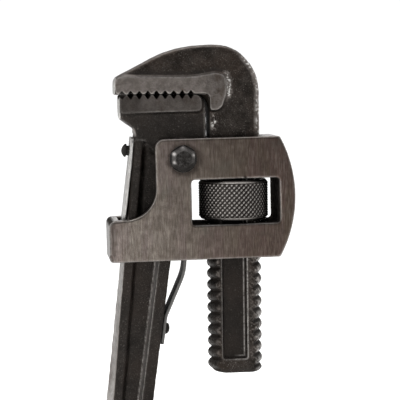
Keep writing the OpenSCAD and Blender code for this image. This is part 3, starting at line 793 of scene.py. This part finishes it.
class Material:
    """A principled material with its node tree, the object's coordinates in mm and the three masks of wear,
    dirt, painted highlights and painted shade.
    """

    def __init__(self, name):
        self.data = bpy.data.materials.new(name)
        self.data.use_nodes = True
        self.tree = self.data.node_tree
        self.tree.nodes.clear()
        out = self.tree.nodes.new("ShaderNodeOutputMaterial")
        self.shader = self.tree.nodes.new("ShaderNodeBsdfPrincipled")
        self.tree.links.new(self.shader.outputs[0], out.inputs[0])
        coords = self.tree.nodes.new("ShaderNodeTexCoord").outputs["Object"]
        self.mm = self.math_vector("MULTIPLY", coords, (1000, 1000, 1000))
        wear_and_light = self.tree.nodes.new("ShaderNodeAttribute")
        wear_and_light.attribute_name = "wear_and_light"
        split = self.tree.nodes.new("ShaderNodeSeparateColor")
        self.tree.links.new(wear_and_light.outputs["Color"], split.inputs[0])
        self.ground, self.edge, self.hollow = split.outputs

    def put(self, socket, value):
        """Links or sets a socket."""
        if isinstance(value, bpy.types.NodeSocket):
            self.tree.links.new(value, socket)
        elif isinstance(value, tuple) and len(value) == 3 and socket.type == "RGBA":
            socket.default_value = (*value, 1)
        else:
            socket.default_value = value

    def math_vector(self, kind, a, b):
        n = self.tree.nodes.new("ShaderNodeVectorMath")
        n.operation = kind
        self.put(n.inputs[0], a)
        self.put(n.inputs[1], b)
        return n.outputs[0]

    def math(self, kind, a, b, clamp=False):
        n = self.tree.nodes.new("ShaderNodeMath")
        n.operation = kind
        n.use_clamp = clamp
        self.put(n.inputs[0], a)
        self.put(n.inputs[1], b)
        return n.outputs[0]

    def times(self, a, b):
        return self.math("MULTIPLY", a, b)

    def noise(self, scale, detail=3.0, rough=0.55, shift=(0, 0, 0), distort=0.0):
        """Noise with scale per millimetre: a number, or one per axis."""
        v = self.math_vector("MULTIPLY", self.mm, scale if isinstance(scale, tuple) else (scale,) * 3)
        v = self.math_vector("ADD", v, shift)
        n = self.tree.nodes.new("ShaderNodeTexNoise")
        self.put(n.inputs["Vector"], v)
        n.inputs["Scale"].default_value = 1
        n.inputs["Detail"].default_value = detail
        n.inputs["Roughness"].default_value = rough
        n.inputs["Distortion"].default_value = distort
        return n.outputs[0]

    def ramp(self, value, a, b, low=0.0, high=1.0):
        """Goes smoothly from low where value is a to high where it is b."""
        n = self.tree.nodes.new("ShaderNodeMapRange")
        n.interpolation_type = "SMOOTHSTEP"
        for socket, v in zip(n.inputs, (value, a, b, low, high)):
            self.put(socket, v)
        return n.outputs[0]

    def mix(self, factor, a, b):
        n = self.tree.nodes.new("ShaderNodeMix")
        n.data_type = "RGBA"
        n.blend_type = "MIX"
        self.put(n.inputs[0], factor)
        self.put(n.inputs[6], a)
        self.put(n.inputs[7], b)
        return n.outputs[2]

    def tint(self, base, mask, amount, colour):
        """The base colour, taken towards another by an amount where the mask is 1."""
        return self.mix(self.times(mask, amount), base, colour)

    def across(self):
        n = self.tree.nodes.new("ShaderNodeSeparateXYZ")
        self.put(n.inputs[0], self.mm)
        return n.outputs[0]

    def finish(self, colour, metallic, roughness, height, depth, strength, dull=None):
        """dull, 0 to 1, is how much gloss is lost to dirt and to painted shade. depth is the bumps' height in
        metres.
        """
        if dull is not None:
            keep = self.math("SUBTRACT", 1.0, dull, clamp=True)
            metallic = self.times(metallic, keep)
            roughness = self.math("ADD", roughness, self.times(dull, 0.5), clamp=True)
            self.put(self.shader.inputs["Specular IOR Level"], self.times(keep, 0.5))
        self.put(self.shader.inputs["Base Color"], colour)
        self.put(self.shader.inputs["Metallic"], metallic)
        self.put(self.shader.inputs["Roughness"], roughness)
        n = self.tree.nodes.new("ShaderNodeBump")
        n.inputs["Strength"].default_value = strength
        n.inputs["Distance"].default_value = depth
        self.put(n.inputs["Height"], height)
        self.tree.links.new(n.outputs[0], self.shader.inputs["Normal"])
        return self.data


def forged_material():
    """Blackened forged skin with pits and specks, which wears through dull steel to bright steel; its bright
    steel also carries painted highlights, and its near black painted shade.
    """
    m = Material("forged_steel")
    grain = m.noise(1.1, 4, 0.65, (3, 8, 1))
    blotch = m.ramp(m.noise(0.16, 5, 0.6), 0.35, 0.68)
    pits = m.ramp(m.noise(1.5, 3, 0.6, (2, 6, 3)), 0.60, 0.42)
    warm = m.ramp(m.noise(0.06, 3, 0.5, (4, 1, 7)), 0.4, 0.65)
    speck = m.ramp(m.noise(0.85, 3, 0.6, (9, 2, 5)), 0.62, 0.74)
    glint = m.ramp(m.noise(2.1, 2, 0.5, (4, 4, 2)), 0.62, 0.72)
    skin = m.mix(blotch, (0.0145, 0.0120, 0.0100), (0.044, 0.0372, 0.0325))
    skin = m.tint(skin, pits, 0.55, (0.010, 0.0078, 0.0062))
    skin = m.tint(skin, warm, 0.45, (0.047, 0.034, 0.027))
    skin = m.tint(skin, speck, 0.5, (0.17, 0.154, 0.138))
    # Painted glints: small highlights in the skin's colour
    skin = m.tint(skin, glint, 0.4, (0.26, 0.240, 0.222))

    streak = m.noise((0.5, 0.5, 3.2), 3, 0.6, (1, 5, 2))
    stain = m.ramp(m.noise(0.11, 4, 0.6, (2, 2, 9)), 0.54, 0.68)
    tone = m.ramp(m.noise(0.33, 4, 0.6, (6, 6, 1)), 0.38, 0.62)
    worn_and_lit = m.mix(tone, (0.103, 0.089, 0.080), (0.158, 0.139, 0.128))
    worn_and_lit = m.tint(worn_and_lit, m.ramp(streak, 0.35, 0.65), 0.35, (0.082, 0.073, 0.066))
    worn_and_lit = m.tint(worn_and_lit, stain, 0.65, (0.050, 0.034, 0.025))
    polish = m.ramp(m.noise(0.5, 4, 0.6, (7, 1, 1)), 0.35, 0.6)
    bright = m.mix(polish, (0.42, 0.405, 0.385), (0.60, 0.59, 0.57))
    # Where the ground mask is up: ground and worn steel, and painted highlights
    worn_and_lit = m.mix(m.ramp(m.ground, 0.55, 0.95), worn_and_lit, bright)
    colour = m.mix(m.ramp(m.ground, 0.0, 0.5), skin, worn_and_lit)

    # Edges: worn edges and painted highlight lines; hollows: dirt and painted shade, near black
    edge = m.math("MULTIPLY", m.edge, m.ramp(grain, 0.25, 0.6), clamp=True)
    dirt_and_shade = m.math("MULTIPLY", m.hollow, 0.85, clamp=True)
    colour = m.tint(colour, edge, 0.8, (0.31, 0.292, 0.275))
    colour = m.mix(dirt_and_shade, colour, (0.0085, 0.006, 0.0044))
    rough = m.math("ADD", 0.36, m.times(blotch, 0.14))
    rough = m.math("SUBTRACT", rough, m.times(edge, 0.12))
    height = m.math("ADD", m.times(grain, m.math("SUBTRACT", 1.15, m.ground)),
                    m.times(streak, m.times(m.ground, 0.35)))
    return m.finish(colour, 0.92, rough, height, 0.00034, 0.9, dirt_and_shade)


def frame_material():
    """Ground steel with upright grinding lines, with a painted reflection that makes it lighter to the left,
    and blackened steel inside, painted darker as shade.
    """
    m = Material("ground_steel")
    fine = m.noise((2.6, 0.4, 0.16), 5, 0.66)
    lines = m.noise((1.5, 0.2, 0.14), 4, 0.65, (5, 1, 2), 0.4)
    cloud = m.ramp(m.noise(0.26, 5, 0.7, (8, 3, 5)), 0.36, 0.66)
    bands = m.noise((0.16, 0.1, 0.02), 3, 0.55, (1, 7, 3))
    patch = m.ramp(m.noise(0.09, 4, 0.6, (3, 3, 8)), 0.55, 0.72)
    broken = m.ramp(m.noise(0.7, 3, 0.6, (1, 1, 4)), 0.35, 0.6, 0.45, 1.0)
    pinkish = m.ramp(bands, 0.42, 0.58)
    # Painted reflection: the faces grow lighter to the left
    left_reflection = m.ramp(m.math("ADD", m.across(), m.times(bands, 24.0)), 94.0, 24.0)
    base = m.mix(pinkish, (0.084, 0.064, 0.049), (0.088, 0.061, 0.053))
    base = m.mix(left_reflection, base, m.mix(pinkish, (0.172, 0.153, 0.132), (0.176, 0.150, 0.138)))
    base = m.tint(base, m.ramp(fine, 0.32, 0.64), 0.62, (0.036, 0.025, 0.020))
    base = m.tint(base, m.ramp(lines, 0.45, 0.64), 0.42, (0.170, 0.140, 0.120))
    base = m.tint(base, cloud, 0.5, (0.046, 0.034, 0.028))
    base = m.tint(base, patch, 0.35, (0.078, 0.073, 0.060))
    # Near black: dirt and painted shade in hollows, the pin's painted shadow, the foot's marks and the nick
    base = m.tint(base, m.hollow, 0.85, (0.016, 0.012, 0.010))
    base = m.tint(base, m.times(m.edge, broken), 0.85, (0.46, 0.44, 0.42))
    # Inside: near-black steel, partly painted shade
    inner = m.mix(m.ramp(m.noise(0.4, 4, 0.6), 0.3, 0.7), (0.012, 0.010, 0.009), (0.034, 0.030, 0.027))
    inner = m.tint(inner, m.edge, 0.6, (0.30, 0.285, 0.27))
    colour = m.mix(m.ground, inner, base)
    rough = m.math("ADD", 0.27, m.times(fine, 0.16))
    height = m.math("ADD", fine, m.times(lines, 0.7))
    return m.finish(colour, 0.95, rough, height, 0.00006, 0.8, m.math("SUBTRACT", 1.0, m.ground))


def nut_material():
    m = Material("knurled_steel")
    grain = m.noise(1.3, 3, 0.6)
    base = m.mix(m.ramp(m.edge, 0.3, 0.92), (0.022, 0.019, 0.017), (0.33, 0.31, 0.293))
    base = m.tint(base, m.ramp(grain, 0.45, 0.7), 0.35, (0.10, 0.088, 0.078))
    rough = m.math("ADD", 0.30, m.times(grain, 0.22))
    return m.finish(base, 0.95, rough, grain, 0.00008, 0.8)


def dark_material():
    m = Material("dark_steel")
    grain = m.noise(1.7, 4, 0.6)
    spot = m.ramp(m.noise(0.6, 3, 0.6, (5, 5, 5)), 0.4, 0.62)
    base = m.mix(spot, (0.035, 0.031, 0.029), (0.085, 0.079, 0.076))
    base = m.tint(base, m.edge, 0.8, (0.42, 0.40, 0.385))
    base = m.tint(base, m.hollow, 0.92, (0.008, 0.007, 0.006))
    rough = m.math("ADD", 0.24, m.times(grain, 0.25))
    return m.finish(base, 0.95, rough, grain, 0.00014, 0.9, m.times(m.hollow, 0.85))


def spring_material():
    """Dark steel, with a painted highlight on a leaf's outer face."""
    m = Material("spring_steel")
    grain = m.noise((0.9, 0.9, 0.25), 4, 0.6)
    spot = m.ramp(m.noise(0.3, 4, 0.6, (2, 9, 4)), 0.4, 0.65)
    base = m.mix(spot, (0.016, 0.015, 0.014), (0.036, 0.033, 0.031))
    base = m.mix(m.ground, base, m.mix(spot, (0.42, 0.41, 0.395), (0.56, 0.55, 0.535)))
    base = m.tint(base, m.edge, 0.7, (0.34, 0.33, 0.315))
    rough = m.math("ADD", 0.30, m.times(grain, 0.2))
    return m.finish(base, 0.95, rough, grain, 0.0001, 0.8, m.hollow)


# ---------------------------------------------------------------- the pieces on their bodies

FORGED, GROUND, KNURLED, DARK, SPRING = (
    forged_material(), frame_material(), nut_material(), dark_material(), spring_material())


def piece(obj, node, body, material):
    obj.data.materials.append(material)
    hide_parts(node)
    if body:
        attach(obj, body)
    return obj


piece(make_handle(), "handle", "handle_body", FORGED)
piece(make_hook(), "hook_jaw", "hook_body", FORGED)
piece(make_frame(), "frame", "frame_body", GROUND)
piece(make_nut(), "adjusting_nut", "nut_body", KNURLED)
piece(make_pin(), "frame_pin", "frame_body", DARK)
piece(make_pin_nut(), "frame_pin_nut", "frame_body", DARK)
piece(make_back_screw(), "back_spring_screw", "handle_body", DARK)
piece(make_rivet(), "front_spring_rivet", "handle_body", DARK)

BACK_THICK, FRONT_THICK = 1.6, 1.4
# The outer face of each leaf, as (x, z, radius): the back one lies on the bar, the front one bends off it
BACK_PATH = [(-55.9, -10, 0), (-54.3, 4, 60), (left(30) - 1.63, 30, 40), (left(42.2) - 1.63, 42.2, 0)]
FRONT_PATH = [(right(-58.3) + 0.4, -58.3, 0), (right(-44.2) + 0.4, -44.2, 8), (-25.7, -23.2, 22),
              (-24.6, -8, 0)]
# bright paints a highlight on the back leaf's left-facing outer face
back_leaf = make_spring("back_leaf", BACK_PATH, BACK_THICK, bright=0.92)
back = piece(back_leaf, "back_spring", None, SPRING)
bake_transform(back)
front_leaf = make_spring("front_leaf", FRONT_PATH, FRONT_THICK, bright=0.1)
front = piece(front_leaf, "front_spring", None, SPRING)
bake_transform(front)


# ---------------------------------------------------------------- floor, light and camera

def make_floor():
    """A wide white floor just under the object."""
    low = cad_box[0].z - 0.0005
    size = 6.0
    mesh = bpy.data.meshes.new("floor")
    mesh.from_pydata([(-size, -size, low), (size, -size, low), (size, size, low), (-size, size, low)], [],
                     [(0, 1, 2, 3)])
    obj = bpy.data.objects.new("floor", mesh)
    bpy.context.scene.collection.objects.link(obj)
    paint = bpy.data.materials.new("floor_paint")
    paint.use_nodes = True
    shader = paint.node_tree.nodes["Principled BSDF"]
    shader.inputs["Base Color"].default_value = (0.93, 0.93, 0.925, 1)
    shader.inputs["Roughness"].default_value = 0.9
    shader.inputs["Emission Color"].default_value = (1, 1, 1, 1)
    shader.inputs["Emission Strength"].default_value = 0.3
    mesh.materials.append(paint)


def area(name, place, aim, size, power):
    """A square light at a place, turned to a point."""
    light = bpy.data.lights.new(name, "AREA")
    light.shape = "RECTANGLE"
    light.size, light.size_y = size, size
    light.energy = power
    obj = bpy.data.objects.new(name, light)
    bpy.context.scene.collection.objects.link(obj)
    obj.location = place
    obj.rotation_mode = "QUATERNION"
    obj.rotation_quaternion = (Vector(place) - Vector(aim)).to_track_quat("Z", "Y")


def make_world():
    """White to the camera. To the object it is bright above and at the sides, and dim in front and behind."""
    sides_from, sides_to, bright, dim = 0.45, 0.95, 1.2, 0.03
    backdrop = 1.05
    world = bpy.data.worlds.new("studio")
    world.use_nodes = True
    tree = world.node_tree
    tree.nodes.clear()
    out = tree.nodes.new("ShaderNodeOutputWorld")
    coords = tree.nodes.new("ShaderNodeTexCoord")
    split = tree.nodes.new("ShaderNodeSeparateXYZ")
    depth = tree.nodes.new("ShaderNodeMath")
    depth.operation = "ABSOLUTE"
    fall = tree.nodes.new("ShaderNodeMapRange")
    fall.interpolation_type = "SMOOTHSTEP"
    for i, value in enumerate((sides_from, sides_to, bright, dim), 1):
        fall.inputs[i].default_value = value
    soft = tree.nodes.new("ShaderNodeBackground")
    soft.inputs[0].default_value = (1, 1, 1, 1)
    seen = tree.nodes.new("ShaderNodeBackground")
    seen.inputs[0].default_value = (1, 1, 1, 1)
    seen.inputs[1].default_value = backdrop
    path = tree.nodes.new("ShaderNodeLightPath")
    mix = tree.nodes.new("ShaderNodeMixShader")
    link = tree.links.new
    link(coords.outputs["Generated"], split.inputs[0])
    link(split.outputs[1], depth.inputs[0])
    link(depth.outputs[0], fall.inputs[0])
    link(fall.outputs[0], soft.inputs[1])
    link(path.outputs["Is Camera Ray"], mix.inputs[0])
    link(soft.outputs[0], mix.inputs[1])
    link(seen.outputs[0], mix.inputs[2])
    link(mix.outputs[0], out.inputs[0])
    bpy.context.scene.world = world


def make_camera():
    yaw, pitch, roll = math.radians(6.61), math.radians(-4.79), math.radians(-0.77)
    x, y, z = -0.0308, -0.700, 0.269
    forward = Vector((math.sin(yaw) * math.cos(pitch), math.cos(yaw) * math.cos(pitch), math.sin(pitch)))
    side = Vector((math.cos(yaw), -math.sin(yaw), 0))
    up = side.cross(forward)
    r = math.cos(roll) * side + math.sin(roll) * up
    u = math.cos(roll) * up - math.sin(roll) * side
    data = bpy.data.cameras.new("camera")
    data.sensor_width = 36
    data.lens = 131.25
    data.clip_start, data.clip_end = 0.05, 50
    obj = bpy.data.objects.new("camera", data)
    bpy.context.scene.collection.objects.link(obj)
    obj.matrix_world = Matrix(((r.x, u.x, -forward.x, x), (r.y, u.y, -forward.y, y),
                               (r.z, u.z, -forward.z, z), (0, 0, 0, 1)))
    bpy.context.scene.camera = obj


make_floor()
make_world()
make_camera()
bpy.context.scene.view_settings.view_transform = "Standard"
centre = (0.04, 0, 0.2)
area("key", (-0.12, -0.80, 0.07), (0.0, 0, 0.19), 0.16, 0.9)
area("left", (-0.9, -0.1, 0.35), centre, 0.9, 3)
area("right", (0.9, 0.2, 0.45), centre, 0.8, 1.2)
area("top", (0.0, 0.1, 1.1), centre, 0.9, 4)
area("back", (0.2, 0.9, 0.3), centre, 0.4, 1.0)
